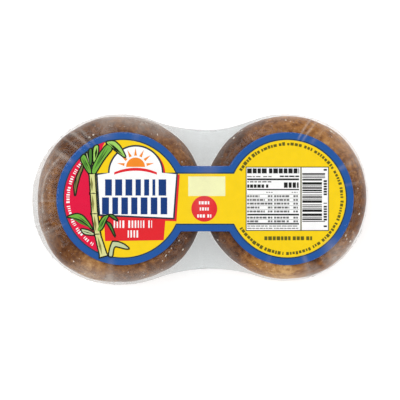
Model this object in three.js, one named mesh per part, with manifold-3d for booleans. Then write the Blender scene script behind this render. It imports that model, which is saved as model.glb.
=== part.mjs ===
// Twin pack of two round brown sugar cakes, held side by side by a printed card and a
// clear shrink film. Millimetres, +Z up. The origin is at the middle of the pack's
// footprint, on the surface it rests on. +X runs along the pair and +Y runs across it.

import * as THREE from "three";
import { mergeVertices } from "three/addons/utils/BufferGeometryUtils.js";
import Module from "manifold-3d";

const wasm = await Module();
wasm.setup();

// The two cakes: moulded rounds with a flat top and bottom and a rounded side.
const cakeHeight = 34;
const cakeMidHeight = cakeHeight / 2;
const cakeSide = { depth: 8, squareness: 2.6 }; // depth: its reach in over the flat faces
const leftCake = { x: -38.7, y: 0, radius: 40 };
const rightCake = { x: 41.5, y: 0.7, radius: 39.1 };

// The card: two discs joined by a straight bridge, lying across both cakes.
const cardThickness = 0.4;
const cardDiscRadius = 32.3;
const cardBridgeHalfWidth = 15.9;
const cardY = 0.4;
const cardLeftX = -37.4;
const cardRightX = 42.5;

// The film: a collar round each cake, widest at mid-height where its two sheets meet, and
// a web across the waist between the cakes.
const gap = 0.3; // clear space between touching pieces
const collarCover = 0.8; // how far the collars stand above the cakes' flat faces
const collarSide = { depth: 9, squareness: 2.5 };
const leftCollar = { x: -38.8, y: 0, halfLength: 42.9, halfWidth: 41.6 };
const rightCollar = { x: 41.15, y: 0.95, halfLength: 40.55, halfWidth: 40.65 };
const footClearance = 0.6; // the film's lowest edge above the resting surface
const waist = { x: 5, halfWidth: 33.9, halfHeight: 14.5 };
const webLeftEnd = { x: -26, halfWidth: 39.4, halfHeight: 16.1 };
const webRightEnd = { x: 27, halfWidth: 37.1, halfHeight: 16.1 };
const webCurve = 1.9; // how slowly the web widens as it leaves the waist
const webSquareness = 2.4;

// How finely the round forms are divided.
const cakeSegments = 44;
const sideSteps = 12;
const cardSegments = 48;
const webSegments = 36;
const webSteps = 18;

// A point on a superellipse of half-axes 1, by its angle: 2 is an ellipse, more is squarer.
function squarePoint(angle, squareness) {
  const power = 2 / squareness;
  const across = Math.cos(angle);
  const up = Math.sin(angle);
  return {
    across: Math.sign(across) * Math.abs(across) ** power,
    up: Math.sign(up) * Math.abs(up) ** power,
  };
}

// A round with flat faces and a rounded side, centred on the cakes' mid-height.
function makeRound(radius, halfHeight, side) {
  const profile = [new THREE.Vector2(0, -halfHeight)];
  for (let step = 0; step <= sideSteps; step++) {
    const angle = Math.PI * (step / sideSteps - 1 / 2);
    const point = squarePoint(angle, side.squareness);
    const reach = radius - side.depth + side.depth * Math.abs(point.across);
    profile.push(new THREE.Vector2(reach, halfHeight * point.up));
  }
  profile.push(new THREE.Vector2(0, halfHeight));
  const round = new THREE.LatheGeometry(profile, cakeSegments);
  return round.rotateX(Math.PI / 2).translate(0, 0, cakeMidHeight);
}

function makeCake(radius, growth = 0) {
  return makeRound(radius + growth, cakeMidHeight + growth, cakeSide);
}

// The card's outline and thickness, with growth where room has to be left round it.
function makeCard(thickness, growth = 0) {
  const radius = cardDiscRadius + growth;
  const corner = Math.asin((cardBridgeHalfWidth + growth) / radius);
  const outline = new THREE.Shape();
  outline.absarc(cardLeftX, cardY, radius, corner, 2 * Math.PI - corner);
  outline.absarc(cardRightX, cardY, radius, Math.PI + corner, 3 * Math.PI - corner);
  outline.closePath();
  return new THREE.ExtrudeGeometry(outline, {
    depth: thickness,
    bevelEnabled: false,
    curveSegments: cardSegments,
  });
}

function makeCollar({ x, y, halfLength, halfWidth }) {
  const collar = makeRound(halfWidth, cakeMidHeight + collarCover, collarSide);
  return collar.scale(halfLength / halfWidth, 1, 1).translate(x, y, 0);
}

// The film between the cakes: a saddle, lowest and narrowest at the waist.
function makeWeb() {
  const length = webRightEnd.x - webLeftEnd.x;
  const geometry = new THREE.CylinderGeometry(1, 1, length, webSegments, webSteps);
  geometry.rotateZ(Math.PI / 2).translate(webLeftEnd.x + length / 2, 0, 0);
  const position = geometry.getAttribute("position");
  for (let i = 0; i < position.count; i++) {
    const x = position.getX(i);
    const y = position.getY(i);
    const z = position.getZ(i);
    const end = x < waist.x ? webLeftEnd : webRightEnd;
    const growth = ((x - waist.x) / (end.x - waist.x)) ** webCurve;
    const halfWidth = THREE.MathUtils.lerp(waist.halfWidth, end.halfWidth, growth);
    const halfHeight = THREE.MathUtils.lerp(waist.halfHeight, end.halfHeight, growth);
    const point = squarePoint(Math.atan2(z, y), webSquareness);
    const onRim = Math.round(Math.hypot(y, z)); // 0 in the middle of an end, else 1
    position.setXYZ(
      i,
      x,
      onRim * halfWidth * point.across,
      onRim * halfHeight * point.up + cakeMidHeight,
    );
  }
  return geometry;
}

// The slab of space that keeps the film clear of the resting surface.
function makeFootSpace() {
  const reach = 8 * cakeHeight;
  const slab = new THREE.BoxGeometry(reach, reach, cakeHeight);
  return slab.translate(0, 0, footClearance - cakeHeight / 2);
}

function toSolid(geometry) {
  const bare = geometry.clone();
  bare.deleteAttribute("normal");
  bare.deleteAttribute("uv");
  const merged = mergeVertices(bare);
  return new wasm.Manifold(
    new wasm.Mesh({
      numProp: 3,
      vertProperties: merged.getAttribute("position").array,
      triVerts: new Uint32Array(merged.index.array),
    }),
  );
}

function toGeometry(solid) {
  const { vertProperties, triVerts } = solid.getMesh();
  const shared = new THREE.BufferGeometry();
  shared.setAttribute("position", new THREE.BufferAttribute(vertProperties, 3));
  shared.setIndex(new THREE.BufferAttribute(triVerts, 1));
  const geometry = shared.toNonIndexed();
  geometry.computeVertexNormals();
  return geometry;
}

// The collars and the web as one piece. It is open over and under each cake, so that
// nothing is sealed inside it, and it leaves room for the card.
function makeFilm() {
  const left = makeCake(leftCake.radius, gap).translate(leftCake.x, leftCake.y, 0);
  const right = makeCake(rightCake.radius, gap).translate(rightCake.x, rightCake.y, 0);
  const cardSpace = makeCard(cakeHeight, gap).translate(0, 0, cakeHeight);
  const film = toSolid(makeCollar(leftCollar))
    .add(toSolid(makeCollar(rightCollar)))
    .add(toSolid(makeWeb()))
    .subtract(toSolid(left))
    .subtract(toSolid(right))
    .subtract(toSolid(cardSpace))
    .subtract(toSolid(makeFootSpace()));
  return toGeometry(film);
}

const darkSugar = new THREE.MeshStandardMaterial({ color: 0x6f4a2e, roughness: 0.5 });
const goldenSugar = new THREE.MeshStandardMaterial({ color: 0x9a6c40, roughness: 0.5 });
const printedCard = new THREE.MeshStandardMaterial({ color: 0x2f5f9f, roughness: 0.6 });
const clearFilm = new THREE.MeshStandardMaterial({
  color: 0xe6e8e8,
  roughness: 0.12,
  transparent: true,
  opacity: 0.35,
});

function makeMesh(name, geometry, material, x = 0, y = 0, z = 0) {
  const mesh = new THREE.Mesh(geometry, material);
  mesh.name = name;
  mesh.position.set(x, y, z);
  return mesh;
}

const contents = new THREE.Group();
contents.add(
  makeMesh("sugar_cake_left", makeCake(leftCake.radius), darkSugar, leftCake.x, leftCake.y),
  makeMesh("sugar_cake_right", makeCake(rightCake.radius), goldenSugar, rightCake.x, rightCake.y),
  makeMesh("label_card", makeCard(cardThickness), printedCard, 0, 0, cakeHeight + gap),
);

const twinPack = new THREE.Group();
twinPack.add(contents, makeMesh("shrink_film", makeFilm(), clearFilm));

export default twinPack;
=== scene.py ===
import math
import random

import bmesh
import bpy
import numpy as np
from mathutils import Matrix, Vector, noise


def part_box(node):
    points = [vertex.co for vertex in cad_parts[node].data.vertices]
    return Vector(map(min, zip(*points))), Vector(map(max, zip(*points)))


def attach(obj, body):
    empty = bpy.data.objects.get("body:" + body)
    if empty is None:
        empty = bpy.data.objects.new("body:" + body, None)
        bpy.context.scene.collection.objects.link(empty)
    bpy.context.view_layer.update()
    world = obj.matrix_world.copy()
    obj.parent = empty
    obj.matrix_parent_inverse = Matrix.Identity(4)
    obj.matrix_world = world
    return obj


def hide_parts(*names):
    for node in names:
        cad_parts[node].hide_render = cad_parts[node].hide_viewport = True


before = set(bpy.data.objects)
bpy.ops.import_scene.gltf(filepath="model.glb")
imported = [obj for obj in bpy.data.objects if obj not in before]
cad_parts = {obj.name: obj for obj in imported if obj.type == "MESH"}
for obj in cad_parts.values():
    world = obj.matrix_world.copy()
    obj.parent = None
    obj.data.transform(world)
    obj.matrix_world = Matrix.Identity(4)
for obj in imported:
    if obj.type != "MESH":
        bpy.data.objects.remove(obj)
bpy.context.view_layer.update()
mm = 0.001

# places and sizes that the frame gives
cardLow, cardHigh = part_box("label_card")
filmLow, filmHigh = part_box("shrink_film")
discRadius = (cardHigh.y - cardLow.y) / 2
discY = (cardHigh.y + cardLow.y) / 2
leftDisc = Vector((cardLow.x + discRadius, discY))
rightDisc = Vector((cardHigh.x - discRadius, discY))


def smoothStep(edge0, edge1, value):
    share = min(1.0, max(0.0, (value - edge0) / (edge1 - edge0)))
    return share * share * (3 - 2 * share)


# a value read from a ring of evenly spaced ones, the first at +X and going round by +Y
def fromWheel(wheel, angle):
    place = (angle / (2 * math.pi)) % 1.0 * len(wheel)
    first = int(place) % len(wheel)
    share = smoothStep(0, 1, place - int(place))
    return wheel[first] * (1 - share) + wheel[(first + 1) % len(wheel)] * share


def fromScreen(red, green, blue):
    parts = [value / 255 for value in (red, green, blue)]
    return tuple(v / 12.92 if v <= 0.04045 else ((v + 0.055) / 1.055) ** 2.4 for v in parts)


# a step of length 1 at an angle, seen from above
def aimAt(angle):
    return Vector((math.cos(angle), math.sin(angle)))


# the faces of a closed body: rings of points one above the other, from a first point on
def ringFaces(count, rings, first=0):
    last = first + (rings - 1) * count
    faces = [tuple(range(first + count - 1, first - 1, -1)), tuple(range(last, last + count))]
    for start in range(first, last, count):
        for i in range(count):
            a, b = start + i, start + (i + 1) % count
            faces.append((a, b, b + count, a + count))
    return faces


def addToScene(name, data):
    thing = bpy.data.objects.new(name, data)
    bpy.context.scene.collection.objects.link(thing)
    return thing


def addPiece(name, mesh, finish, rounded):
    piece = addToScene(name, mesh)
    mesh.materials.append(finish)
    if rounded:
        mesh.shade_smooth()
    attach(piece, "root")
    return piece


def makePiece(name, points, faces, finish, rounded=True):
    mesh = bpy.data.meshes.new(name)
    mesh.from_pydata([tuple(p) for p in points], [], faces)
    mesh.update()
    return addPiece(name, mesh, finish, rounded)


def addLayer(piece, name, values):
    layer = piece.data.attributes.new(name, "FLOAT", "POINT")
    layer.data.foreach_set("value", np.asarray(values, dtype=np.float32))


# a material with short ways to add and join its nodes
class Finish:
    def __init__(self, name):
        self.material = bpy.data.materials.new(name)
        self.material.use_nodes = True
        self.nodes = self.material.node_tree.nodes
        self.links = self.material.node_tree.links
        self.nodes.clear()
        self.output = self.nodes.new("ShaderNodeOutputMaterial")

    def add(self, kind, **settings):
        node = self.nodes.new(kind)
        for key, value in settings.items():
            setattr(node, key, value)
        return node

    def put(self, value, socket):
        if isinstance(value, (int, float)):
            socket.default_value = value
        elif isinstance(value, tuple):
            socket.default_value = (*value, 1.0) if len(socket.default_value) == 4 else value
        else:
            self.links.new(value, socket)

    def noise(self, scale, detail, roughness=0.55, distortion=0.0, shift=0.0):
        coords = self.add("ShaderNodeTexCoord")
        mapping = self.add("ShaderNodeMapping")
        texture = self.add("ShaderNodeTexNoise")
        self.put(coords.outputs["Object"], mapping.inputs["Vector"])
        self.put((shift, shift * 0.7, shift * 1.3), mapping.inputs["Location"])
        self.put(mapping.outputs["Vector"], texture.inputs["Vector"])
        self.put(scale, texture.inputs["Scale"])
        self.put(detail, texture.inputs["Detail"])
        self.put(roughness, texture.inputs["Roughness"])
        self.put(distortion, texture.inputs["Distortion"])
        return texture.outputs["Fac"]

    def ramp(self, source, stops):
        node = self.add("ShaderNodeValToRGB")
        while len(node.color_ramp.elements) < len(stops):
            node.color_ramp.elements.new(0.5)
        for element, (position, colour) in zip(node.color_ramp.elements, stops):
            element.position = position
            element.color = (*colour, 1.0)
        self.put(source, node.inputs["Fac"])
        return node.outputs["Color"]

    def reach(self, source, low, high, newLow, newHigh):
        node = self.add("ShaderNodeMapRange")
        self.put(source, node.inputs["Value"])
        self.put(low, node.inputs["From Min"])
        self.put(high, node.inputs["From Max"])
        self.put(newLow, node.inputs["To Min"])
        self.put(newHigh, node.inputs["To Max"])
        return node.outputs["Result"]

    def math(self, operation, first, second):
        node = self.add("ShaderNodeMath", operation=operation)
        self.put(first, node.inputs[0])
        self.put(second, node.inputs[1])
        return node.outputs[0]

    def mixColour(self, share, first, second):
        node = self.add("ShaderNodeMix", data_type="RGBA")
        self.put(share, node.inputs["Factor"])
        self.put(first, node.inputs[6])
        self.put(second, node.inputs[7])
        return node.outputs[2]

    def mixShader(self, share, first, second):
        node = self.add("ShaderNodeMixShader")
        self.put(share, node.inputs[0])
        self.put(first, node.inputs[1])
        self.put(second, node.inputs[2])
        return node.outputs[0]

    def layer(self, name):
        return self.add("ShaderNodeAttribute", attribute_name=name).outputs["Fac"]

    def bump(self, height, distance, strength=1.0):
        node = self.add("ShaderNodeBump")
        self.put(height, node.inputs["Height"])
        self.put(distance, node.inputs["Distance"])
        self.put(strength, node.inputs["Strength"])
        return node.outputs["Normal"]

    def principled(self, **sockets):
        node = self.add("ShaderNodeBsdfPrincipled")
        for key, value in sockets.items():
            self.put(value, node.inputs[key.replace("_", " ")])
        return node.outputs[0]

    def done(self, surface):
        self.put(surface, self.output.inputs["Surface"])
        return self.material


# the sugar cakes
cakeSide = {"depth": 8 * mm, "squareness": 2.6}  # the rounded side of both cakes
cakeMesh = {"around": 420, "sideRows": 96, "faceRows": 8, "facesInset": 0.12 * mm}
# where the faces turn rough and where the tones set in, as shares of the radius
cakeFace = {"rough": (0.45, 0.75), "tones": (0.25, 0.8)}
leftSugar = {
    "seed": 3.0,
    # from dark to pale, by direction round the cake, the first towards +X
    "tones": [0.20, 0.26, 0.33, 0.27, 0.32, 0.19, 0.17, 0.35,
              0.38, 0.35, 0.32, 0.76, 0.33, 0.39, 0.15, 0.07],
    # how far the cake stands out of a true round, in millimetres, by direction
    "bulge": [0.6, 1.0, 1.3, 1.1, 0.5, 1.1, 1.4, 0.9,
              0.4, 1.3, 2.3, 1.5, 0.3, 0.6, 1.6, 1.1],
    "dark": fromScreen(64, 32, 12),
    "body": fromScreen(112, 68, 34),
    "warm": fromScreen(156, 108, 60),
    "pale": fromScreen(204, 162, 108),
    "lumps": 0.28 * mm,
    "pits": 0.34 * mm,
}
rightSugar = {
    "seed": 11.0,
    "tones": [0.28, 0.42, 0.56, 0.52, 0.54, 0.29, 0.03, 0.10,
              0.20, 0.18, 0.11, 0.63, 0.89, 0.28, 0.41, 0.22],
    "bulge": [0.8, 1.4, 1.8, 1.5, 0.9, 0.8, 0.4, 0.3,
              0.4, 1.0, 0.7, 0.3, 0.5, 0.9, 1.0, 0.8],
    "dark": fromScreen(66, 34, 14),
    "body": fromScreen(118, 72, 36),
    "warm": fromScreen(168, 116, 62),
    "pale": fromScreen(214, 170, 110),
    "lumps": 0.34 * mm,
    "pits": 0.30 * mm,
}
# the grain that both cakes share: sizes in millimetres, then scales of the finish
sugarGrain = {
    "lumpSize": 13,
    "grainSize": 1.7,
    "grainHeight": 0.06 * mm,
    "pitSpacing": 3.1,
    "pitSizes": (0.16, 0.32),
    "pitless": 0.15,  # the higher, the more places have no pit
    "highest": 0.12 * mm,  # so that the sugar stays under the film
    "blotches": (95, 0.17),  # scale, and how much lighter or darker
    "flecks": (420, 0.24),
    "crystals": (2400, 0.45),
    # how much darker the pits are painted, as shade
    "pitPaintedShade": 0.18,
}


def cakePlace(node, look):
    low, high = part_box(node)
    middle = (low + high) / 2
    return {"centre": Vector((middle.x, middle.y)), "radius": (high.x - low.x) / 2,
            "half": (high.z - low.z) / 2, "mid": middle.z, "bulge": look["bulge"]}


leftPlace = cakePlace("sugar_cake_left", leftSugar)
rightPlace = cakePlace("sugar_cake_right", rightSugar)
midHeight = leftPlace["mid"]


def bulgeAt(place, angle):
    return fromWheel(place["bulge"], angle) * mm


# distance and direction of a spot from a cake's middle, seen from above
def fromCake(place, x, y):
    dx, dy = x - place["centre"].x, y - place["centre"].y
    return math.hypot(dx, dy), math.atan2(dy, dx)


# height on the rounded side, as a share of half the cake's, by how far across it a spot is
def sideRise(across):
    power = cakeSide["squareness"]
    return (1 - across ** power) ** (1 / power)


# radius and height down a cake's section, from the middle of one face to the other
def cakeSection(place, rows, faceRows):
    power = 2 / cakeSide["squareness"]
    angles = np.linspace(-math.pi / 2, math.pi / 2, 2001)
    across = np.abs(np.cos(angles)) ** power
    up = np.sign(np.sin(angles)) * np.abs(np.sin(angles)) ** power
    radii = place["radius"] - cakeSide["depth"] * (1 - across)
    half = place["half"] - cakeMesh["facesInset"]
    heights = place["mid"] + half * up
    steps = np.hypot(np.diff(radii), np.diff(heights))
    along = np.concatenate(([0], np.cumsum(steps)))
    wanted = np.linspace(0, along[-1], rows + 1)
    radii = np.interp(wanted, along, radii)
    heights = np.interp(wanted, along, heights)
    faceRadii = np.linspace(0.6 * mm, radii[0], faceRows, endpoint=False)
    radii = np.concatenate((faceRadii, radii, faceRadii[::-1]))
    heights = np.concatenate((np.full(faceRows, heights[0]), heights,
                              np.full(faceRows, heights[-1])))
    return radii, heights


# how far the rough sugar stands out of the smooth round, and how deep in a pit a point is
def sugarRelief(point, look):
    place = point / mm + Vector((look["seed"] * 40, 0, 0))
    lump = noise.fractal(place / sugarGrain["lumpSize"], 1.0, 2.1, 3)
    grain = noise.noise(place / sugarGrain["grainSize"])
    distances, features = noise.voronoi(place / sugarGrain["pitSpacing"])
    chance = math.sin(features[0].x * 91.7 + features[0].y * 47.3 + features[0].z * 13.9)
    small, large = sugarGrain["pitSizes"]
    size = small + (large - small) * abs(chance)
    pit = smoothStep(1, 0, distances[0] / size) if chance > sugarGrain["pitless"] else 0.0
    away = look["lumps"] * (lump - 0.45) + sugarGrain["grainHeight"] * grain
    return min(away - look["pits"] * pit, sugarGrain["highest"]), pit


def makeCake(name, node, place, look):
    radii, heights = cakeSection(place, cakeMesh["sideRows"], cakeMesh["faceRows"])
    around = cakeMesh["around"]
    rows = len(radii)
    slopeR, slopeZ = np.gradient(radii), np.gradient(heights)
    evenTone = sum(look["tones"]) / len(look["tones"])  # in the middle of each face
    points, tones, pits = [], [], []
    for row in range(rows):
        outward = Vector((slopeZ[row], -slopeR[row])).normalized()
        roughShare = smoothStep(*cakeFace["rough"], radii[row] / place["radius"])
        toneShare = smoothStep(*cakeFace["tones"], radii[row] / place["radius"])
        for step in range(around):
            angle = 2 * math.pi * step / around
            aim = aimAt(angle)
            stretch = 1 + bulgeAt(place, angle) / place["radius"]
            flat = place["centre"] + aim * float(radii[row]) * stretch
            point = Vector((flat.x, flat.y, float(heights[row])))
            away, pit = sugarRelief(point, look)
            if abs(outward.y) > 0.99:
                away = min(0.0, away) * roughShare
            point += Vector((aim.x * outward.x, aim.y * outward.x, outward.y)) * away
            points.append(point)
            tone = fromWheel(look["tones"], angle)
            tones.append(evenTone + (tone - evenTone) * toneShare)
            pits.append(pit)
    finish = sugarFinish(name + "Finish", look)
    cake = makePiece(name, points, ringFaces(around, rows), finish)
    addLayer(cake, "tone", tones)
    addLayer(cake, "pit", pits)
    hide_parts(node)


def sugarFinish(name, look):
    f = Finish(name)
    seed = look["seed"]
    blotchScale, blotchShade = sugarGrain["blotches"]
    fleckScale, fleckShade = sugarGrain["flecks"]
    crystalScale, crystalShare = sugarGrain["crystals"]
    blotch = f.noise(blotchScale, 5, 0.6, 0.6, seed)
    fleck = f.noise(fleckScale, 4, 0.6, 0.3, seed + 2)
    grain = f.noise(crystalScale, 3, 0.6, 0.0, seed + 4)
    tone = f.math("ADD", f.layer("tone"), f.reach(blotch, 0.3, 0.7, -blotchShade, blotchShade))
    tone = f.math("ADD", tone, f.reach(fleck, 0.3, 0.7, -fleckShade, fleckShade))
    # painted shade: the sugar is drawn darker down in its pits, where the shade falls
    tone = f.math("SUBTRACT", tone, f.math("MULTIPLY", f.layer("pit"), sugarGrain["pitPaintedShade"]))
    colour = f.ramp(tone, [(0.0, look["dark"]), (0.34, look["body"]),
                           (0.66, look["warm"]), (1.0, look["pale"])])
    crystals = f.reach(grain, 0.64, 0.72, 0.0, crystalShare)
    colour = f.mixColour(crystals, colour, look["pale"])
    rough = f.reach(fleck, 0.3, 0.7, 0.34, 0.62)
    height = f.math("ADD", fleck, f.math("MULTIPLY", grain, 0.22))
    return f.done(f.principled(Base_Color=colour, Roughness=rough, IOR=1.45,
                               Specular_IOR_Level=0.12,
                               Normal=f.bump(height, 0.4 * mm, 0.9)))


makeCake("sugarCakeLeft", "sugar_cake_left", leftPlace, leftSugar)
makeCake("sugarCakeRight", "sugar_cake_right", rightPlace, rightSugar)
print("sugar cakes made")

# loose crumbs of sugar caught on the rounded edges, under the film; the larger ones also stand in
# for glints on the film, as painted highlights
crumbAndGlintLook = {
    "seed": 5,
    "count": 60,
    "small": 0.18 * mm,
    "large": 0.55 * mm,
    "sunk": 0.1 * mm,
    "turns": (0.9, 2.2),  # from the way out of the cake, in radians
    "uneven": (0.6, 1.3),
    "width": 0.5,  # width and height as shares of the length
    "height": 0.45,
    # near white: the grains are sugar, and the larger ones are also painted glints
    "colour": fromScreen(254, 244, 228),
    # the larger ones, partly crumbs and partly painted glints, as x and y in millimetres and length
    "crumbsAndGlints": [(-51.8, 31.4, 1.1), (-53.6, 30.3, 1.1), (-20.6, 31.6, 0.9), (-8.6, 18.3, 0.8),
               (-16.4, -27.2, 1.3), (-8.2, -24.3, 1.2), (-14.9, -25.5, 0.7), (-61.4, -30.1, 1.1),
               (-55.9, -36.0, 1.0), (-27.0, -37.0, 0.7), (-10.1, -20.0, 1.0), (-18.1, -29.8, 0.8),
               (-11.5, -30.0, 0.6), (-13.8, -23.7, 0.7), (-18.4, -34.0, 0.7), (-73.5, -14.0, 0.7),
               (20.7, 33.6, 1.6), (19.2, 33.0, 1.1), (16.6, 29.8, 1.8), (63.9, 33.2, 1.7),
               (65.2, 32.2, 1.0), (77.5, -7.1, 1.3), (71.0, -17.5, 1.3), (73.2, -20.4, 1.6),
               (71.5, -19.2, 1.0), (8.8, -19.6, 1.1), (41.9, 38.6, 0.9), (14.8, -27.6, 0.8),
               (76.9, 5.4, 0.7)],
}


def addGrain(grains, place, x, y, size, chance):
    r, angle = fromCake(place, x, y)
    radius = place["radius"] + bulgeAt(place, angle)
    across = min(0.999, max(0.0, (r - radius + cakeSide["depth"]) / cakeSide["depth"]))
    level = place["mid"] + place["half"] * sideRise(across) - crumbAndGlintLook["sunk"]
    made = bmesh.ops.create_icosphere(grains, subdivisions=1, radius=size / 2)
    turn = angle + chance.uniform(*crumbAndGlintLook["turns"])
    for vertex in made["verts"]:
        vertex.co *= chance.uniform(*crumbAndGlintLook["uneven"])
        along, aside = vertex.co.x, vertex.co.y * crumbAndGlintLook["width"]
        vertex.co = Vector((x + along * math.cos(turn) - aside * math.sin(turn),
                            y + along * math.sin(turn) + aside * math.cos(turn),
                            level + vertex.co.z * crumbAndGlintLook["height"]))


def makeCrumbsAndGlints():
    chance = random.Random(crumbAndGlintLook["seed"])
    grains = bmesh.new()
    # the larger grains, which also stand in for glints on the film
    for x, y, size in crumbAndGlintLook["crumbsAndGlints"]:
        place = leftPlace if x < 2 else rightPlace
        addGrain(grains, place, x * mm, y * mm, size * mm, chance)
    for place in (leftPlace, rightPlace):
        for _ in range(crumbAndGlintLook["count"]):
            angle = chance.uniform(0, 2 * math.pi)
            reach = place["radius"] - cakeSide["depth"] * chance.uniform(0.08, 0.8)
            spot = place["centre"] + aimAt(angle) * reach
            size = chance.uniform(crumbAndGlintLook["small"], crumbAndGlintLook["large"])
            addGrain(grains, place, spot.x, spot.y, size, chance)
    mesh = bpy.data.meshes.new("sugarCrumbsAndGlints")
    grains.to_mesh(mesh)
    grains.free()
    f = Finish("crumbAndGlintFinish")
    darker = tuple(part * 0.72 for part in crumbAndGlintLook["colour"])
    colour = f.mixColour(f.noise(900, 3), crumbAndGlintLook["colour"], darker)
    finish = f.done(f.principled(Base_Color=colour, Roughness=0.3))
    addPiece("sugarCrumbsAndGlints", mesh, finish, rounded=False)


makeCrumbsAndGlints()
print("crumbs made")

# the printed card
cardLook = {
    "bridgeHalfWidth": 15.9 * mm,
    "border": 3.2 * mm,
    "keyLine": 0.6 * mm,
    "inkStep": 0.02 * mm,  # each colour lies this much above the one under it
    "bevel": 0.08 * mm,
    "arcSteps": 150,
}
inkColours = {
    "borderBlue": (28, 84, 158),
    "keyBlue": (20, 58, 78),
    "yellow": (247, 209, 8),
    "magenta": (226, 2, 62),
    "red": (226, 32, 42),
    "navy": (4, 54, 122),
    "white": (251, 251, 250),
    "cream": (243, 244, 188),
    "black": (28, 28, 26),
    "grey": (104, 104, 102),
    "olive": (98, 92, 18),
    "stem": (220, 220, 146),
    "stemShade": (134, 132, 70),
    "leaf": (112, 178, 62),
    "darkLeaf": (72, 130, 44),
    "paleLeaf": (196, 208, 160),
    "brightLeaf": (160, 212, 98),
    "outline": (20, 30, 14),
    "darkLine": (24, 46, 66),
    "orange": (243, 140, 34),
}


def arc(centre, radius, start, end, steps):
    angles = [math.radians(start + (end - start) * i / steps) for i in range(steps + 1)]
    return [centre + aimAt(angle) * radius for angle in angles]


# the card's outline, or the same drawn in by an inset
def cardOutline(inset=0.0):
    radius = discRadius - inset
    corner = math.degrees(math.asin((cardLook["bridgeHalfWidth"] - inset) / radius))
    steps = cardLook["arcSteps"]
    return (arc(leftDisc, radius, corner, 360 - corner, steps)
            + arc(rightDisc, radius, 180 + corner, 540 - corner, steps))


def inkFinish(name, colour):
    f = Finish(name)
    shade = fromScreen(*colour)
    mottle = f.noise(260, 3, 0.5)
    darker = tuple(part * 0.96 for part in shade)
    fibre = f.noise(5200, 2, 0.6)
    return f.done(f.principled(
        Base_Color=f.mixColour(f.reach(mottle, 0.35, 0.65, 0.0, 1.0), shade, darker),
        Roughness=f.reach(fibre, 0.3, 0.7, 0.38, 0.5), Specular_IOR_Level=0.15,
        Normal=f.bump(fibre, 0.01 * mm, 0.4)))


inks = {name: inkFinish(name + "Ink", colour) for name, colour in inkColours.items()}


# more than zero for an outline that goes round against the clock
def signedArea(outline):
    return sum(a.x * b.y - b.x * a.y for a, b in zip(outline, outline[1:] + outline[:1])) / 2


# closed plates with the given outlines, whose tops are at one level of the print
def makeInk(name, ink, level, outlines):
    low = cardHigh.z - cardLook["inkStep"]
    high = cardHigh.z + level * cardLook["inkStep"]
    points, faces = [], []
    for outline in outlines:
        ring = outline if signedArea(outline) > 0 else outline[::-1]
        faces += ringFaces(len(ring), 2, len(points))
        points += [(p.x, p.y, z) for z in (low, high) for p in ring]
    return makePiece(name, points, faces, inks[ink], rounded=False)


def makeCard():
    low, high, bevel = cardLow.z, cardHigh.z, cardLook["bevel"]
    outer, inner = cardOutline(), cardOutline(bevel)
    rings = [(inner, low), (outer, low + bevel), (outer, high - bevel), (inner, high)]
    points = [(p.x, p.y, z) for ring, z in rings for p in ring]
    card = makePiece("printedCard", points, ringFaces(len(outer), len(rings)),
                     inks["borderBlue"], rounded=False)
    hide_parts("label_card")


makeCard()
border = cardLook["border"]
makeInk("keyLine", "keyBlue", 1, [cardOutline(border)])
makeInk("yellowField", "yellow", 2, [cardOutline(border + cardLook["keyLine"])])
print("card made")


def onLeft(x, y):
    return leftDisc + Vector((x, y)) * mm


def onRight(x, y):
    return rightDisc + Vector((x, y)) * mm


def onMiddle(x, y):
    return Vector((x, y)) * mm


def rectangle(place, left, low, right, high):
    return [place(left, low), place(right, low), place(right, high), place(left, high)]


# blocks of the given widths, in place of the letters of a title
def titleRow(place, left, low, high, widths, space):
    blocks, x = [], left
    for width in widths:
        blocks.append(rectangle(place, x, low, x + width, high))
        x += width + space
    return blocks


# where the blocks of a line of type start and how wide they are, grouped into words
def typeSpans(length, chance, block, space):
    spans, at = [], 0.0
    letters = chance.randint(3, 8)
    while at < length - 0.3:
        width = min(chance.uniform(*block), length - at)
        spans.append((at, width))
        at += width + space
        letters -= 1
        if letters == 0:
            at += space * 1.6
            letters = chance.randint(3, 8)
    return spans


# blocks in a row that stand for a line of type
def typeRow(place, left, low, right, high, seed, block, space):
    spans = typeSpans(right - left, random.Random(seed), block, space)
    return [rectangle(place, left + at, low, left + at + width, high) for at, width in spans]


def typeRows(place, rows):
    return [block for row in rows for block in typeRow(place, *row)]


# the same along a circle, from one angle to another, in degrees
def typeArc(centre, radius, height, start, end, seed, block, space):
    chance = random.Random(seed)
    perMm = math.degrees(1 / radius)
    turn = math.copysign(perMm, end - start)
    rows = []
    for at, width in typeSpans(abs(end - start) / perMm, chance, block, space):
        first, last = start + at * turn, start + (at + width) * turn
        top = radius + height * (chance.uniform(0.7, 1.0) - 0.5)
        rows.append(arc(centre, (radius - height / 2) * mm, first, last, 5)
                    + arc(centre, top * mm, last, first, 5))
    return rows


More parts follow.
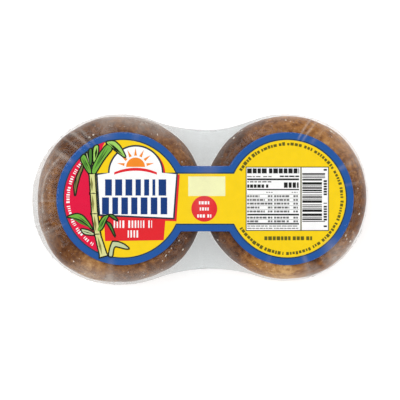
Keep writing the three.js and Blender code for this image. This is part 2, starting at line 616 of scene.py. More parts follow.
# the left disc, with places in millimetres from its middle
fieldRadius = (discRadius - border - cardLook["keyLine"]) / mm
fieldLook = {
    "magentaArc": (127, 251.5),
    "magentaEdge": [(-11.6, -20.0), (-13.4, -10.0), (-14.2, 0.0), (-15.2, 12.0)],
    "magentaPatch": [(-12.4, 26.2), (-8.6, 27.6), (-11.2, 22.0), (-13.6, 17.4)],
    "banner": [(-9.2, -8.4), (-8.6, -20.6), (19.9, -20.2), (20.8, -9.0)],
    # rows of type: left, low, right, high, seed, widths of the blocks, space between them
    "bannerRows": [(-4.4, -14.2, 14.2, -10.6, 21, (0.45, 1.0), 0.75),
                   (2.4, -18.9, 9.0, -15.4, 22, (0.5, 0.9), 0.75)],
    # type on an arc: radius, height, first and last angle, then as above
    "rimType": (26.7, 1.7, 138.5, 237, 31, (0.35, 0.9), 0.55),
}
plateLook = {
    "archCentre": (6.3, 12.6),
    "archRadius": 13.5,
    "line": 0.8,
    "shadow": 0.9,
    "corners": [(-13.0, 12.3), (-11.8, -8.4), (25.2, -10.1), (26.8, 12.7)],
    # two rows of blocks: left, low, high, widths
    "titles": {"upperTitle": (-8.6, 1.5, 9.4, [3.3, 3.4, 3.3, 2.6, 2.4, 1.4, 3.7]),
               "lowerTitle": (-10.1, -7.6, 0.6, [3.4, 2.8, 3.2, 3.0, 3.3, 3.2, 3.2])},
    "space": 1.6,
}
sunLook = {
    "centre": (6.2, 15.4),
    "radius": 4.6,
    "rays": 7,
    "firstRay": 12,  # degrees
    "turn": 26,
    "from": 5.5,
    "to": 9.2,
    "halfWidth": 0.72,
    # the hill's upper and lower lines: centre, radius, first and last angle, steps
    "hill": ((6.2, -10.4), 25.4, 66, 114, 20),
    "hollow": ((6.2, -15.4), 29.0, 111, 69, 20),
}


def plateOutline(inset=0.0, shift=(0.0, 0.0)):
    dx, dy = shift
    ways = ((1, -1), (1, 1), (-1, 1), (-1, -1))  # inwards from each corner
    outline = [onLeft(x + inset * inX + dx, y + inset * inY + dy)
               for (x, y), (inX, inY) in zip(plateLook["corners"], ways)]
    x, y = plateLook["archCentre"]
    radius = plateLook["archRadius"] - inset
    return outline + arc(onLeft(x + dx, y + dy), radius * mm, 0, 180, 36)


def makePlate():
    shadow = plateLook["shadow"]
    makeInk("plateShadow", "red", 4, [plateOutline(0, (shadow, -shadow))])
    makeInk("plateLine", "darkLine", 5, [plateOutline()])
    makeInk("plateWhite", "white", 6, [plateOutline(plateLook["line"])])
    for name, row in plateLook["titles"].items():
        makeInk(name, "navy", 7, titleRow(onLeft, *row, plateLook["space"]))


# a low sun with rays over a hill, in place of a maker's mark
def makeSun():
    look = sunLook
    centre = onLeft(*look["centre"])
    rays = []
    for i in range(look["rays"]):
        aim = aimAt(math.radians(look["firstRay"] + look["turn"] * i))
        side = Vector((-aim.y, aim.x)) * look["halfWidth"] * mm
        base = centre + aim * look["from"] * mm
        rays.append([base - side, centre + aim * look["to"] * mm, base + side])
    makeInk("sunRays", "orange", 7, rays)
    makeInk("sunDisc", "orange", 7, [arc(centre, look["radius"] * mm, 0, 180, 24)])
    hill = []
    for middle, radius, *turn in (look["hill"], look["hollow"]):
        hill += arc(onLeft(*middle), radius * mm, *turn)
    makeInk("sunHill", "red", 7, [hill])


def makeFields():
    look = fieldLook
    rim = arc(leftDisc, fieldRadius * mm, *look["magentaArc"], 60)
    edge, patch, banner = ([onLeft(*spot) for spot in look[key]]
                           for key in ("magentaEdge", "magentaPatch", "banner"))
    makeInk("magentaField", "magenta", 3, [rim + edge, patch])
    makeInk("redBanner", "red", 3, [banner])
    makeInk("bannerType", "white", 4, typeRows(onLeft, look["bannerRows"]))
    makeInk("fieldType", "white", 4, typeArc(leftDisc, *look["rimType"]))


# an outline with its corners softened
def softened(points):
    for _ in range(2):
        softer = []
        for a, b in zip(points, points[1:] + points[:1]):
            softer += [a.lerp(b, 0.2), a.lerp(b, 0.8)]
        points = softer
    return points


# an outline grown outwards by an amount in millimetres
def grown(points, amount):
    turn = math.copysign(1, signedArea(points))
    larger = []
    for before, at, after in zip(points[-1:] + points[:-1], points, points[1:] + points[:1]):
        first, second = (at - before).normalized(), (after - at).normalized()
        aside = Vector((first.y + second.y, -first.x - second.x)) * turn
        stretch = min(1.6, 2 / max(0.2, aside.length))
        larger.append(at + aside.normalized() * amount * mm * stretch)
    return larger


# the cane: its leaves' outlines by ink, and the strokes drawn over them
caneLook = {
    "line": 0.58,
    "shrink": 0.1,  # how far the colours stay inside the shapes
    "brightLeaf": [
        [(-14.4, 17.0), (-14.3, 25.2), (-11.9, 26.3), (-11.9, 22.6), (-13.0, 19.2)],
        [(-8.7, 27.6), (-4.1, 28.2), (-1.0, 25.2), (1.5, 20.2), (0.3, 20.4), (-4.5, 24.3)],
    ],
    "leaf": [
        [(-20.9, 19.5), (-18.5, 22.1), (-15.5, 14.6), (-15.4, 12.0), (-17.1, 12.8)],
        [(-7.6, 26.7), (-4.8, 24.5), (-7.9, 20.8), (-9.8, 18.2), (-12.4, 13.8), (-13.5, 12.0),
         (-15.2, 12.4), (-14.5, 16.0), (-11.2, 22.0)],
        [(-14.3, -15.6), (-16.6, -11.6), (-19.4, -8.2), (-22.4, -7.2), (-27.4, -8.9),
         (-24.2, -9.2), (-20.4, -10.2), (-17.2, -12.6)],
        [(-12.6, -16.4), (-11.4, -11.8), (-9.4, -8.6), (-6.6, -7.8), (-8.2, -10.4), (-10.0, -14.8)],
    ],
    "darkLeaf": [
        [(-16.2, 15.4), (-16.6, 23.6), (-15.0, 24.6), (-15.0, 17.4)],
        [(-6.9, -7.8), (-4.4, -8.0), (-2.2, -10.9), (-5.0, -9.3)],
        [(-8.2, -11.0), (-5.7, -12.3), (-3.3, -19.4), (-6.2, -13.9)],
    ],
    "paleLeaf": [
        [(-17.9, 22.0), (-17.3, 22.4), (-16.3, 18.0), (-16.3, 16.4)],
        [(-13.8, -17.0), (-16.8, -15.3), (-20.6, -14.6), (-18.9, -17.2), (-14.2, -17.7)],
        [(-6.9, -27.9), (-6.2, -24.2), (-5.0, -20.9), (-4.3, -20.9), (-2.0, -21.1), (0.8, -22.3),
         (3.2, -24.3), (1.4, -24.3), (-1.2, -23.6), (-3.7, -23.0), (-4.6, -24.2), (-5.1, -28.3)],
    ],
    "stemShade": [
        [(-19.2, 17.4), (-20.8, 14.2), (-22.6, 10.2), (-23.7, 6.4), (-23.4, 3.4), (-23.2, 1.4),
         (-22.8, 3.4), (-22.2, 6.6), (-21.0, 10.8), (-19.6, 14.2)],
    ],
    # the veins and the shaded stripes, as the two ends of each
    "veins": [((-19.2, 20.2), (-15.9, 13.6)), ((-6.6, 25.3), (-12.9, 15.2)),
              ((-6.0, 27.2), (0.2, 21.2)),
              ((-22.2, -8.3), (-16.2, -12.6)), ((-8.4, -9.2), (-11.2, -15.0)),
              ((-19.8, -15.6), (-14.6, -17.2)), ((-22.4, 12.0), (-23.1, 4.4))],
    "stripes": [((-7.6, 26.2), (-14.2, 13.6)), ((-20.0, 20.2), (-16.7, 13.2)),
                ((-12.6, 25.0), (-13.4, 19.4)), ((-7.2, 27.4), (0.4, 21.0)),
                ((-25.6, -8.8), (-15.4, -14.4)), ((-7.8, -8.4), (-12.4, -15.2))],
    "stem": [(-14.9, 12.0), (-14.3, 2.6), (-13.7, -7.3), (-12.3, -17.2), (-9.3, -28.0)],
    "stemWidths": (2.9, 2.9, 2.9, 2.7, 3.9),
    "waist": 0.86,  # how wide a length is between its ends
    "shade": [((-15.3, 10.6), (-14.9, 3.4)), ((-14.7, 1.8), (-14.4, -6.6)),
              ((-13.9, -8.2), (-13.0, -16.2)), ((-12.2, -18.4), (-10.0, -27.4))],
    "widths": {"veins": 0.42, "stripes": 1.1, "shade": 1.3},
    "heart": [(-16.9, 12.3), (-13.2, 12.1), (-13.8, 14.6), (-15.1, 17.2), (-15.9, 15.2)],
}


# one length of the cane's stem, a little narrower between its ends
def stemJoint(lower, upper, lowWidth, highWidth):
    a, b = Vector(lower), Vector(upper)
    along = (b - a).normalized()
    side = Vector((-along.y, along.x)) / 2
    waist = caneLook["waist"]
    shape = [(0.0, 1.0), (0.10, waist), (0.90, waist), (1.0, 1.0)]
    shape += [(t, -part) for t, part in reversed(shape)]
    return [onLeft(*(a.lerp(b, t) + side * (lowWidth + (highWidth - lowWidth) * t) * part))
            for t, part in shape]


def stroke(first, last, width):
    a, b = Vector(first), Vector(last)
    along = (b - a).normalized()
    side = Vector((-along.y, along.x)) * width / 2
    middle = a.lerp(b, 0.5)
    return [onLeft(*spot) for spot in (middle + side, b, middle - side, a)]


def makeCane():
    look = caneLook
    stem, widths = look["stem"], look["stemWidths"]
    joints = [stemJoint(stem[i + 1], stem[i], widths[i + 1], widths[i]) for i in range(4)]
    leaves = {ink: [softened([onLeft(*p) for p in points]) for points in look[ink]]
              for ink in ("stemShade", "darkLeaf", "paleLeaf", "leaf", "brightLeaf")}
    every = joints + [outline for group in leaves.values() for outline in group]
    makeInk("caneLines", "outline", 8, [grown(outline, look["line"]) for outline in every])
    makeInk("caneStem", "stem", 9, [grown(joint, -look["shrink"]) for joint in joints])
    for level, (ink, group) in enumerate(leaves.items(), 9):
        makeInk(ink + "Shapes", ink, level, [grown(outline, -look["shrink"]) for outline in group])
    knots = [stroke((x - 1.6, y + 0.1), (x + 1.6, y - 0.1), 0.5) for x, y in stem[1:4]]
    strokes = {key: [stroke(a, b, look["widths"][key]) for a, b in look[key]]
               for key in ("veins", "stripes", "shade")}
    makeInk("caneVeins", "outline", level + 1, knots + strokes["veins"])
    makeInk("caneStripes", "darkLeaf", level, strokes["stripes"])
    makeInk("caneShade", "stemShade", 10, strokes["shade"])
    makeInk("crownHeart", "outline", 10, [[onLeft(*spot) for spot in look["heart"]]])


makeFields()
makePlate()
makeSun()
makeCane()
print("left disc printed")


# the bridge, with a pale box and a round seal
bridgeLook = {
    "box": (-5.6, 1.7, 12.4, 11.2),
    "seal": (2.2, -4.5),
    "sealRadius": 6.3,
    "rows": [(-0.4, -2.35, 4.8, -0.85, 41, (0.6, 1.1), 0.45),
             (0.0, -5.35, 4.4, -3.85, 42, (0.6, 1.1), 0.45),
             (-1.2, -8.75, 5.6, -7.25, 43, (0.6, 1.1), 0.45)],
}


def makeBridgePrint():
    look = bridgeLook
    makeInk("paleBox", "cream", 3, [rectangle(onMiddle, *look["box"])])
    seal = arc(onMiddle(*look["seal"]), look["sealRadius"] * mm, 0, 352, 44)
    makeInk("redSeal", "red", 3, [seal])
    makeInk("sealType", "white", 4, typeRows(onMiddle, look["rows"]))


# the right disc, with places in millimetres from its middle: a facts panel, a panel of
# bars, and type round them
panelLook = {"left": -20.2, "right": 6.4, "low": -15.7, "high": 15.6, "line": 0.45,
             "barLeft": 7.0, "barRight": 20.3}


def makePanels():
    p, line = panelLook, panelLook["line"]
    makeInk("panelLines", "olive", 3,
            [rectangle(onRight, p["left"], p["low"], p["barRight"], p["high"])])
    spans = ((p["left"] + line, p["right"]), (p["barLeft"], p["barRight"] - line))
    makeInk("panelWhites", "white", 4,
            [rectangle(onRight, a, p["low"] + line, b, p["high"] - line) for a, b in spans])


factsLook = {
    "left": -19.45,
    "right": 5.75,
    "boldRows": [(-19.45, 12.3, 5.75, 14.7, 51, (1.4, 2.4), 0.42),
                 (-19.45, 5.3, -8.6, 6.9, 52, (1.0, 1.7), 0.35),
                 (-1.6, 5.3, 5.55, 7.9, 53, (1.3, 1.9), 0.5),
                 (-3.6, 10.5, 5.75, 11.2, 54, (1.4, 2.8), 0.35)],
    "boldRules": [(9.4, 0.85), (4.45, 0.6), (-7.75, 0.8), (-12.2, 0.75)],  # height, thickness
    "fineRows": [(-19.45, 10.5, -7.6, 11.0, 55, (0.8, 2.2), 0.5),
                 (-19.45, 7.9, -7.2, 8.5, 56, (0.8, 2.2), 0.5),
                 (-10.2, 2.9, -7.0, 3.3, 57, (0.6, 1.0), 0.4),
                 (2.2, 2.9, 5.0, 3.3, 58, (0.6, 1.0), 0.4)],
    # the table: where its lines are, where those of the first column end, in turn, and
    # the other columns
    "lines": [1.2, -0.6, -2.4, -4.3, -6.2, -9.2, -11.0],
    "firstEnds": [-13.5, -10.9, -8.3],
    "columns": [(-9.4, -7.2), (-6.4, 1.0), (3.0, 5.2)],
    "notes": [-13.3, -14.4],
    "rules": [2.1, 0.3, -1.5, -3.4, -5.2, -10.1],
    "heights": {"lines": 0.90, "notes": 0.44, "rules": 0.14},
}


def makeFacts():
    look = factsLook
    left, right = look["left"], look["right"]
    line, note, rule = (look["heights"][key] / 2 for key in ("lines", "notes", "rules"))
    bold = typeRows(onRight, look["boldRows"])
    bold += [rectangle(onRight, left, y - height / 2, right, y + height / 2)
             for y, height in look["boldRules"]]
    makeInk("factsBold", "black", 5, bold)
    fine = typeRows(onRight, look["fineRows"])
    for i, y in enumerate(look["lines"]):
        columns = [(left, look["firstEnds"][i % 3])] + look["columns"]
        fine += typeRows(onRight, [(a, y - line, b, y + line, 60 + i, (0.7, 2.0), 0.3)
                                   for a, b in columns])
    fine += typeRows(onRight, [(left, y - note, right, y + note, 80 + i, (0.8, 2.4), 0.3)
                               for i, y in enumerate(look["notes"])])
    makeInk("factsFine", "grey", 5, fine)
    makeInk("factsRules", "grey", 5,
            [rectangle(onRight, left, y - rule, right, y + rule) for y in look["rules"]])


barLook = {
    "seed": 77,
    "left": 7.35,
    "right": 16.9,
    "longRight": 18.4,
    "low": -12.8,
    "high": 12.4,
    "module": 0.40,  # the thinnest bar
    "longAtTop": 2.2,  # how far in from each end the bars are longer
    "longAtFoot": 2.8,
    # the marks beside the bars: low, high, seed
    "marks": [(13.6, 14.8, 91), (1.7, 9.9, 92), (-10.6, -2.0, 93), (-13.8, -12.7, 94)],
    "markSpan": (17.7, 19.3),
}


# along the bars and across them, for the marks that run upwards beside them
def besideBars(along, across):
    return onRight(across, along)


# bars of seeded widths that encode nothing
def makeBars():
    look, module = barLook, barLook["module"]
    chance = random.Random(look["seed"])
    y, bars = look["high"], []
    while y > look["low"] + 3 * module:
        thick = chance.choice((1, 1, 2, 2, 3)) * module
        isLong = y > look["high"] - look["longAtTop"] or y < look["low"] + look["longAtFoot"]
        right = look["longRight"] if isLong else look["right"]
        bars.append(rectangle(onRight, look["left"], y - thick, right, y))
        y -= thick + chance.choice((1, 1, 1, 2)) * module
    makeInk("bars", "black", 5, bars)
    near, far = look["markSpan"]
    marks = [(low, near, high, far, seed, (0.75, 0.95), 0.4) for low, high, seed in look["marks"]]
    makeInk("barDigits", "black", 5, typeRows(besideBars, marks))


ringLook = {
    "origin": (-11.1, -20.2, 12.1, -18.3, 95, (1.1, 1.8), 0.4),
    "arcs": [(26.7, 1.8, 149, 92, 96, (0.8, 1.8), 0.4),
             (26.7, 1.6, 90, -95, 97, (0.7, 1.6), 0.5),
             (26.7, 1.8, -97, -148, 98, (0.8, 1.9), 0.4)],
}


def makeRingType():
    makeInk("originType", "olive", 3, typeRow(onRight, *ringLook["origin"]))
    makeInk("ringType", "olive", 3,
            [block for row in ringLook["arcs"] for block in typeArc(rightDisc, *row)])


makeBridgePrint()
makePanels()
makeFacts()
makeBars()
makeRingType()
print("right disc printed")

# the film: an upper and a lower sheet that meet in a seam at mid-height. Directions are
# in degrees from +X by +Y, and a ring of values goes round the same way.
filmLook = {
    "clearance": 0.36 * mm,  # over the cakes' rounded sides
    "overCard": 0.40 * mm,
    "underCakes": 0.05 * mm,
    "underBridge": (14 * mm, 0.8 * mm),  # the underside between the cakes: reach, rise
    "rightShift": (-0.35 * mm, 0.25 * mm),  # the right lobe's middle from its cake's
    "waist": (5.0 * mm, 33.9 * mm),  # where the web is narrowest, and how far out
    "leave": {"left": 68, "right": 109},  # where the web leaves each lobe
    # how square the lobes are by quarter, the first between +X and +Y: 2 is an ellipse
    "square": {"left": (2.0, 2.0, 2.15, 2.12), "right": (2.22, 2.0, 2.0, 2.08)},
    "lobeRays": 280,
    "webRays": 60,
    "steps": 72,
    "samples": 150,
    "unevenness": (9 * mm, 0.08 * mm),  # size and height of the slow waves
    # small folds that run out from the card to the seam, and how strong they are
    "folds": {"seed": 8, "count": 64, "widths": (0.5, 1.8), "lean": 6,
              "heights": (0.08 * mm, 0.34 * mm)},
    "foldsFrom": (0.8, 0.93),  # where they rise, as shares of the cake's radius
    "pucker": {"left": [0.1, 0.25, 0.5, 1.1, 1.3, 0.8, 0.5, 0.25],
               "right": [1.1, 0.8, 0.8, 0.3, 0.1, 0.3, 0.5, 1.0]},
}
leftMiddle = leftPlace["centre"]
leftReach = (leftMiddle.x - filmLow.x, filmHigh.y - leftMiddle.y, filmLook["square"]["left"])
rightMiddle = rightPlace["centre"] + Vector(filmLook["rightShift"])
rightReach = (filmHigh.x - rightMiddle.x, filmHigh.y - rightMiddle.y,
              filmLook["square"]["right"])


# a spot on the rim of a lobe
def onLobe(middle, reach, degrees):
    angle = math.radians(degrees)
    power = 2 / reach[2][int(degrees % 360 // 90)]
    across, up = math.cos(angle), math.sin(angle)
    return middle + Vector((reach[0] * math.copysign(abs(across) ** power, across),
                            reach[1] * math.copysign(abs(up) ** power, up)))


# a smooth line from one point and slope to another
def easedLine(a, slopeA, b, slopeB, share):
    span = b.x - a.x
    t, t2, t3 = share, share ** 2, share ** 3
    y = ((2 * t3 - 3 * t2 + 1) * a.y + (t3 - 2 * t2 + t) * span * slopeA
         + (3 * t2 - 2 * t3) * b.y + (t3 - t2) * span * slopeB)
    return Vector((a.x + span * share, y))


def lobeSlope(middle, reach, degrees):
    step = onLobe(middle, reach, degrees + 0.5) - onLobe(middle, reach, degrees - 0.5)
    return step.y / step.x


# the web's rim from one lobe to the other, on the +Y side or the -Y side
def webRim(share, side):
    leaveLeft, leaveRight = side * filmLook["leave"]["left"], side * filmLook["leave"]["right"]
    a = onLobe(leftMiddle, leftReach, leaveLeft)
    b = onLobe(rightMiddle, rightReach, leaveRight)
    waist = Vector((filmLook["waist"][0], side * filmLook["waist"][1]))
    x = a.x + (b.x - a.x) * share
    if x < waist.x:
        slope = lobeSlope(leftMiddle, leftReach, leaveLeft)
        return easedLine(a, slope, waist, 0, (x - a.x) / (waist.x - a.x))
    slope = lobeSlope(rightMiddle, rightReach, leaveRight)
    return easedLine(waist, 0, b, slope, (x - waist.x) / (b.x - waist.x))


# every ray runs from the line between the cakes' middles out to the seam
def filmRays():
    lobe, web = filmLook["lobeRays"], filmLook["webRays"]
    leaveLeft, leaveRight = filmLook["leave"]["left"], filmLook["leave"]["right"]
    rays = [(leftMiddle, onLobe(leftMiddle, leftReach,
                                leaveLeft + (360 - 2 * leaveLeft) * i / lobe))
            for i in range(lobe)]
    rays += [(leftMiddle.lerp(rightMiddle, i / web), webRim(i / web, -1)) for i in range(web)]
    rays += [(rightMiddle, onLobe(rightMiddle, rightReach, (2 * i / lobe - 1) * leaveRight))
             for i in range(lobe)]
    rays += [(leftMiddle.lerp(rightMiddle, 1 - i / web), webRim(1 - i / web, 1))
             for i in range(web)]
    return rays


def onCard(x, y, margin):
    nearest = min(math.hypot(x - disc.x, y - disc.y) for disc in (leftDisc, rightDisc))
    inBridge = leftDisc.x < x < rightDisc.x
    halfWidth = cardLook["bridgeHalfWidth"] + margin
    return nearest < discRadius + margin or (inBridge and abs(y - discY) < halfWidth)


# how far the contents stand above mid-height, or below it on the under side
def contentsHeight(x, y, upper):
    best = 0.0
    grow = filmLook["clearance"]
    for place in (leftPlace, rightPlace):
        r, angle = fromCake(place, x, y)
        edge = place["radius"] + grow + bulgeAt(place, angle)
        if r < edge:
            across = max(0.0, (r - edge + cakeSide["depth"]) / cakeSide["depth"])
            best = max(best, (place["half"] + grow) * sideRise(across))
    if upper:
        if onCard(x, y, 0.1 * mm):
            best = max(best, cardHigh.z + filmLook["overCard"] - midHeight)
        return best
    reach, rise = filmLook["underBridge"]
    if leftMiddle.x < x < rightMiddle.x and abs(y) < reach:
        best = max(best, midHeight - rise)
    return min(best, midHeight - filmLook["underCakes"])


# the taut line over the contents along one ray, as distance and height
def tautLine(start, rim, upper):
    length, samples = (rim - start).length, filmLook["samples"]
    line = []
    for i in range(samples + 1):
        share = i / samples
        spot = start.lerp(rim, share)
        height = 0.0 if i == samples else contentsHeight(spot.x, spot.y, upper)
        if height <= 0.0 and i < samples:
            continue
        while len(line) > 1:
            (ax, ay), (bx, by) = line[-2], line[-1]
            if (bx - ax) * (height - ay) - (by - ay) * (share * length - ax) < 0:
                break
            line.pop()
        line.append((share * length, height))
    distance, heights = np.array(line).T
    along = np.concatenate(([0], np.cumsum(np.hypot(np.diff(distance), np.diff(heights)))))
    wanted = np.linspace(0, along[-1], filmLook["steps"] + 1)
    return np.interp(wanted, along, distance), np.interp(wanted, along, heights)


# direction, width, height and lean of each fold
def makeFolds(seedShift):
    look = filmLook["folds"]
    chance = random.Random(look["seed"] + seedShift)
    return [(chance.uniform(0, 360), chance.uniform(*look["widths"]),
             chance.choice((1, 1, -0.6)) * chance.uniform(*look["heights"]),
             chance.uniform(-look["lean"], look["lean"])) for _ in range(look["count"])]


# how strong a ridge is at a direction, from its middle and width
def ridge(degrees, middle, width):
    return math.exp(-(((degrees - middle + 180) % 360 - 180) / width) ** 2)


def gridNormals(grid):
    along = np.roll(grid, -1, axis=0) - np.roll(grid, 1, axis=0)
    out = np.gradient(grid, axis=1)
    normals = np.cross(out, along)
    length = np.linalg.norm(normals, axis=2, keepdims=True)
    return normals / np.maximum(length, 1e-12)


def filmGrid(rays, upper):
    steps = filmLook["steps"]
    side = 1 if upper else -1
    grid = np.zeros((len(rays), steps + 1, 3))
    for i, (start, rim) in enumerate(rays):
        distance, heights = tautLine(start, rim, upper)
        aim = (rim - start).normalized()
        grid[i, :, 0] = start.x + aim.x * distance
        grid[i, :, 1] = start.y + aim.y * distance
        grid[i, :, 2] = midHeight + side * heights
    return grid


# the grid pushed outwards in slow waves, and in folds over the rounded sides
def pucker(grid, upper):
    normals = gridNormals(grid) * (1 if upper else -1)  # out of the pack
    folds = {"left": makeFolds(0 if upper else 50), "right": makeFolds(100 if upper else 150)}
    size, rise = filmLook["unevenness"]
    lobe, lobeAndWeb = filmLook["lobeRays"], filmLook["lobeRays"] + filmLook["webRays"]
    for i, row in enumerate(grid):
        side = "left" if i < lobe else "right" if 0 <= i - lobeAndWeb < lobe else None
        for j in range(1, len(row) - 1):
            x, y, z = row[j]
            wave = (0.5 + 0.5 * noise.noise(Vector((x, y, z)) / size)) * rise
            if side:
                place = leftPlace if side == "left" else rightPlace
                r, angle = fromCake(place, x, y)
                outward = r / place["radius"]
                if outward > filmLook["foldsFrom"][0]:
                    fold = sum(height * ridge(math.degrees(angle) - lean * outward, middle, width)
                               for middle, width, height, lean in folds[side])
                    amount = fromWheel(filmLook["pucker"][side], angle)
                    wave += abs(fold) * amount * smoothStep(*filmLook["foldsFrom"], outward)
            row[j] += normals[i, j] * wave * smoothStep(0.0, 4 * mm, z)
    return grid


# how the film looks. Rings of values start at +X and go round by +Y, for each lobe.
filmShade = {
    "clear": (0.99, 0.99, 0.99),
    "web": (0.862, 0.882, 0.884),  # what one sheet of the web lets through
    "webMilk": 0.06,
    "milkAndSheen": (0.80, 0.715, 0.64),
    "seamMilk": (0.86, 0.87, 0.87),
    "seam": (0.7 * mm, 0.30),  # the seam's half width and how milky it is
    "roughness": 0.09,
    "shineFlat": 0.016,
    "shineSteep": 0.45,
    "steepness": 6.0,  # how late the shine rises towards the steep parts
    "hazeAndSheenPatches": (130, 0.55, 1.25),  # scale of the uneven haze and painted sheen, and its least and most
    "scratches": (1400, 0.05 * mm),  # scale and depth
    # where the haze with painted sheen and the painted streaks set in, as shares of the cake's
    # radius
    "hazeAndSheenFrom": (0.80, 1.0),
    "sheenStreaksFrom": (0.68, 0.82),
    # how much haze and painted sheen it has by direction: real haze, laid on thicker where the
    # film's reflections are painted in
    "hazeAndSheen": {"left": [0.05, 0.05, 0.05, 0.38, 0.26, 0.14, 0.01, 0.19,
                      0.19, 0.21, -0.02, 0.28, 0.27, 0.21, 0.03, 0.00],
             "right": [0.01, 0.11, 0.15, -0.04, 0.05, 0.09, 0.07, 0.06,
                       0.05, 0.00, 0.06, -0.01, 0.08, 0.17, 0.26, 0.02]},
    # how much the film beyond the cakes is tinted like the web
    "margin": {"left": [1.0, 1.0, 1.0, 0.5, 0.1, 0.1, 0.15, 0.3,
                        0.7, 0.6, 0.5, 0.5, 0.3, 0.6, 1.0, 1.0],
               "right": [0.05, 0.05, 0.1, 0.2, 0.4, 1.0, 1.0, 1.0,
                         1.0, 1.0, 1.0, 0.9, 0.3, 0.1, 0.05, 0.05]},
    # painted streaks along creases that run out from the print: pale ones are painted highlights,
    # dark ones take haze and sheen away.
    # Direction and width in degrees, strength, and how many degrees they lean from the print to the
    # seam
    "sheenStreaks": {"left": [(118, 1.2, 0.14, 4), (123.5, 1.5, 0.20, 4), (131, 1.0, 0.16, 3),
                         (143, 2.4, 0.22, 1), (152, 1.2, 0.12, 0), (102, 6, 0.10, 0),
                         (74, 3, 0.08, -3), (181, 0.8, 0.12, 0), (183, 0.7, -0.12, 0),
                         (196.5, 0.8, -0.16, 0), (200, 0.7, -0.14, 0), (204, 0.8, 0.12, 0),
                         (262, 3, 0.12, 0)],
                "right": [(70, 1.0, 0.24, -4), (74.5, 0.9, 0.22, -4), (62, 2.0, 0.08, -3),
                          (-72, 2.2, 0.16, 0), (-62, 2.0, -0.14, 2), (-46, 7.0, 0.12, 0),
                          (28, 2.0, 0.12, 0), (12, 1.2, 0.10, 0), (255, 2.0, 0.06, 0)]},
    # painted highlights along curved creases over the rounded edges: half width, strength, lines in
    # millimetres
    "creaseSheenLines": (0.5 * mm, 0.24,
                [[(-68.4, 19.8), (-71.1, 17.4), (-73.5, 13.7), (-75.4, 9.5), (-76.3, 5.2),
                  (-76.7, 1.0), (-76.4, -6.0)],
                 [(74.6, -15.6), (75.4, -18.4), (74.0, -21.6), (71.6, -24.2)]]),
}


# how far a place is from a line through the given points, seen from above
def nearLine(x, y, line):
    best = math.inf
    for (ax, ay), (bx, by) in zip(line, line[1:]):
        dx, dy = (bx - ax) * mm, (by - ay) * mm
        fromX, fromY = x - ax * mm, y - ay * mm
        share = min(1.0, max(0.0, (fromX * dx + fromY * dy) / (dx * dx + dy * dy)))
        best = min(best, math.hypot(fromX - share * dx, fromY - share * dy))
    return best


# for each point, how much it looks like the web, and how much haze and painted sheen it has
def filmLayers(points):
    look = filmShade
    halfway = (leftPlace["centre"].x + rightPlace["centre"].x) / 2
    creaseWidth, creaseStrength, creaseSheenLines = look["creaseSheenLines"]
    seamWidth, seamStrength = look["seam"]
    web, hazeAndSheen = [], []
    for x, y, z in points:
        beyond = 1.0
        for place in (leftPlace, rightPlace):
            r, angle = fromCake(place, x, y)
            edge = place["radius"] + bulgeAt(place, angle)
            beyond *= smoothStep(edge - 0.4 * mm, edge + 0.5 * mm, r)
        place, side = (leftPlace, "left") if x < halfway else (rightPlace, "right")
        r, angle = fromCake(place, x, y)
        outward = r / place["radius"]
        tint = fromWheel(look["margin"][side], angle)
        web.append(0.0 if onCard(x, y, 0.2 * mm) else beyond * tint)
        hazeAndSheenPatches = fromWheel(look["hazeAndSheen"][side], angle) * smoothStep(*look["hazeAndSheenFrom"], outward)
        # painted highlights along the creases, pale or darker
        sheenStreaks = 0.0
        for middle, width, strength, lean in look["sheenStreaks"][side]:
            turned = middle + lean * (outward - 0.9) * 5  # from 0.8 to 1.0 of the radius
            sheenStreaks += strength * ridge(math.degrees(angle), turned, width)
        across = min(nearLine(x, y, line) for line in creaseSheenLines)
        sheenStreaks += creaseStrength * math.exp(-(across / creaseWidth) ** 2)
        seam = seamStrength * smoothStep(seamWidth, 0.3 * seamWidth, abs(z - midHeight))
        sheenStreaks *= smoothStep(*look["sheenStreaksFrom"], outward)
        # painted sheen and highlights on top of the film's haze, then the seam's own milkiness
        hazeAndSheen.append(max(0.0, hazeAndSheenPatches + sheenStreaks) + seam)
    return web, hazeAndSheen


def filmFinish():
    f = Finish("clearFilmFinish")
    web = f.layer("web")
    scale, least, most = filmShade["hazeAndSheenPatches"]
    hazeAndSheenPatches = f.reach(f.noise(scale, 4, 0.6, 0.8, 2.0), 0.35, 0.65, least, most)
    hazeAndSheen = f.math("MULTIPLY", f.layer("hazeAndSheen"), hazeAndSheenPatches)
    scale, depth = filmShade["scratches"]
    normal = f.bump(f.noise(scale, 3, 0.5, 0.0, 5.0), depth, 0.35)
    clear = f.add("ShaderNodeBsdfTransparent")
    f.put(f.mixColour(web, filmShade["clear"], filmShade["web"]), clear.inputs["Color"])
    # a pale diffuse layer: the film's haze, and painted sheen where it is laid on thicker
    milkAndSheen = f.add("ShaderNodeBsdfDiffuse")
    f.put(f.mixColour(web, filmShade["milkAndSheen"], filmShade["seamMilk"]), milkAndSheen.inputs["Color"])
    withMilkAndSheen = f.mixShader(f.math("ADD", hazeAndSheen, f.math("MULTIPLY", web, filmShade["webMilk"])),
                        clear.outputs[0], milkAndSheen.outputs[0])
    gloss = f.add("ShaderNodeBsdfAnisotropic")
    gloss.inputs["Roughness"].default_value = filmShade["roughness"]
    f.put(normal, gloss.inputs["Normal"])
    tilt = f.add("ShaderNodeLayerWeight")
    tilt.inputs["Blend"].default_value = 0.5
    f.put(normal, tilt.inputs["Normal"])
    steep = f.math("POWER", tilt.outputs["Facing"], filmShade["steepness"])
    shine = f.reach(steep, 0.0, 1.0, filmShade["shineFlat"], filmShade["shineSteep"])
    return f.done(f.mixShader(shine, withMilkAndSheen, gloss.outputs[0]))


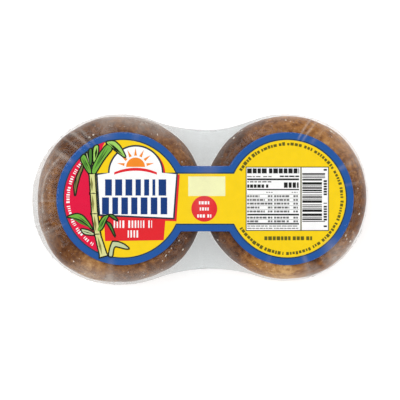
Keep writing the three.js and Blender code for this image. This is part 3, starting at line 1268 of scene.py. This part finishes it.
def makeFilm():
    rays = filmRays()
    row = filmLook["steps"] + 1
    points, faces = [], []
    for upper in (True, False):
        grid = pucker(filmGrid(rays, upper), upper)
        first = len(points)
        points += [tuple(p) for p in grid.reshape(-1, 3)]
        for i in range(len(rays)):
            a, b = first + i * row, first + (i + 1) % len(rays) * row
            for k in range(filmLook["steps"]):
                quad = (a + k, a + k + 1, b + k + 1, b + k)
                faces.append(quad if upper else quad[::-1])
    mesh = bpy.data.meshes.new("shrinkFilm")
    mesh.from_pydata(points, [], faces)
    joined = bmesh.new()
    joined.from_mesh(mesh)
    bmesh.ops.remove_doubles(joined, verts=joined.verts, dist=2e-6)
    bmesh.ops.recalc_face_normals(joined, faces=joined.faces)
    joined.to_mesh(mesh)
    openEdges = sum(1 for e in joined.edges if len(e.link_faces) != 2)
    joined.free()
    film = addPiece("shrinkFilm", mesh, filmFinish(), rounded=True)
    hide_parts("shrink_film")
    web, hazeAndSheen = filmLayers([v.co for v in mesh.vertices])
    addLayer(film, "web", web)
    addLayer(film, "hazeAndSheen", hazeAndSheen)
    print("film made, edges not shared by two faces:", openEdges)


makeFilm()

# the floor, the lights and the camera
studio = {
    "floorSize": 6.0,
    "floorShade": (0.72, 0.72, 0.72),
    "floorGlow": 0.55,
    "worldStrength": 0.62,
    "worldShades": [(0.0, (1.0, 1.0, 1.0)), (0.55, (1.0, 1.0, 1.0)), (1.0, (0.42, 0.42, 0.42))],
    "key": {"place": (-0.45, 0.42, 1.00), "size": 1.1, "power": 8.2},
    "fill": {"place": (0.80, -0.30, 0.80), "size": 1.1, "power": 5.2},
    "frameWidth": 0.1948,
    "distance": 4.0,
    "sharpPlane": 0.026,  # the height at which the frame is exactly that wide
    "aim": (0.00012, -0.00024),
}


def makeFloor():
    half = studio["floorSize"] / 2
    points = [(-half, -half, 0), (half, -half, 0), (half, half, 0), (-half, half, 0)]
    mesh = bpy.data.meshes.new("floor")
    mesh.from_pydata(points, [], [(0, 1, 2, 3)])
    f = Finish("floorFinish")
    grain = f.noise(30, 3, 0.5)
    shade = f.mixColour(f.reach(grain, 0.3, 0.7, 0.0, 1.0), studio["floorShade"],
                        tuple(v * 0.99 for v in studio["floorShade"]))
    mesh.materials.append(f.done(f.principled(
        Base_Color=shade, Roughness=0.9, Emission_Color=(1.0, 1.0, 1.0),
        Emission_Strength=studio["floorGlow"])))
    addToScene("floor", mesh)


def makeLight(name, look):
    light = bpy.data.lights.new(name, "AREA")
    light.shape = "SQUARE"
    light.size = look["size"]
    light.energy = look["power"]
    lamp = addToScene(name, light)
    lamp.location = look["place"]
    lamp.rotation_euler = (-Vector(look["place"])).to_track_quat("-Z", "Y").to_euler()


def makeStudio():
    makeFloor()
    makeLight("keyLight", studio["key"])
    makeLight("fillLight", studio["fill"])
    world = bpy.data.worlds.new("studioWorld")
    bpy.context.scene.world = world
    world.use_nodes = True
    nodes, links = world.node_tree.nodes, world.node_tree.links
    sky = nodes["Background"]
    sky.inputs["Strength"].default_value = studio["worldStrength"]
    coords = nodes.new("ShaderNodeTexCoord")
    parts = nodes.new("ShaderNodeSeparateXYZ")
    shades = nodes.new("ShaderNodeValToRGB")  # darker overhead than round the sides
    shades.color_ramp.elements.new(0.5)
    for element, (position, shade) in zip(shades.color_ramp.elements, studio["worldShades"]):
        element.position = position
        element.color = (*shade, 1.0)
    links.new(coords.outputs["Generated"], parts.inputs["Vector"])
    links.new(parts.outputs["Z"], shades.inputs["Fac"])
    links.new(shades.outputs["Color"], sky.inputs["Color"])
    camera = bpy.data.cameras.new("topCamera")
    camera.sensor_width = 36
    camera.lens = camera.sensor_width * studio["distance"] / studio["frameWidth"]
    camera.clip_start, camera.clip_end = 0.1, 20
    eye = addToScene("topCamera", camera)
    eye.location = (*studio["aim"], studio["sharpPlane"] + studio["distance"])
    bpy.context.scene.camera = eye
    bpy.context.scene.view_settings.view_transform = "Standard"


makeStudio()
print("studio made")
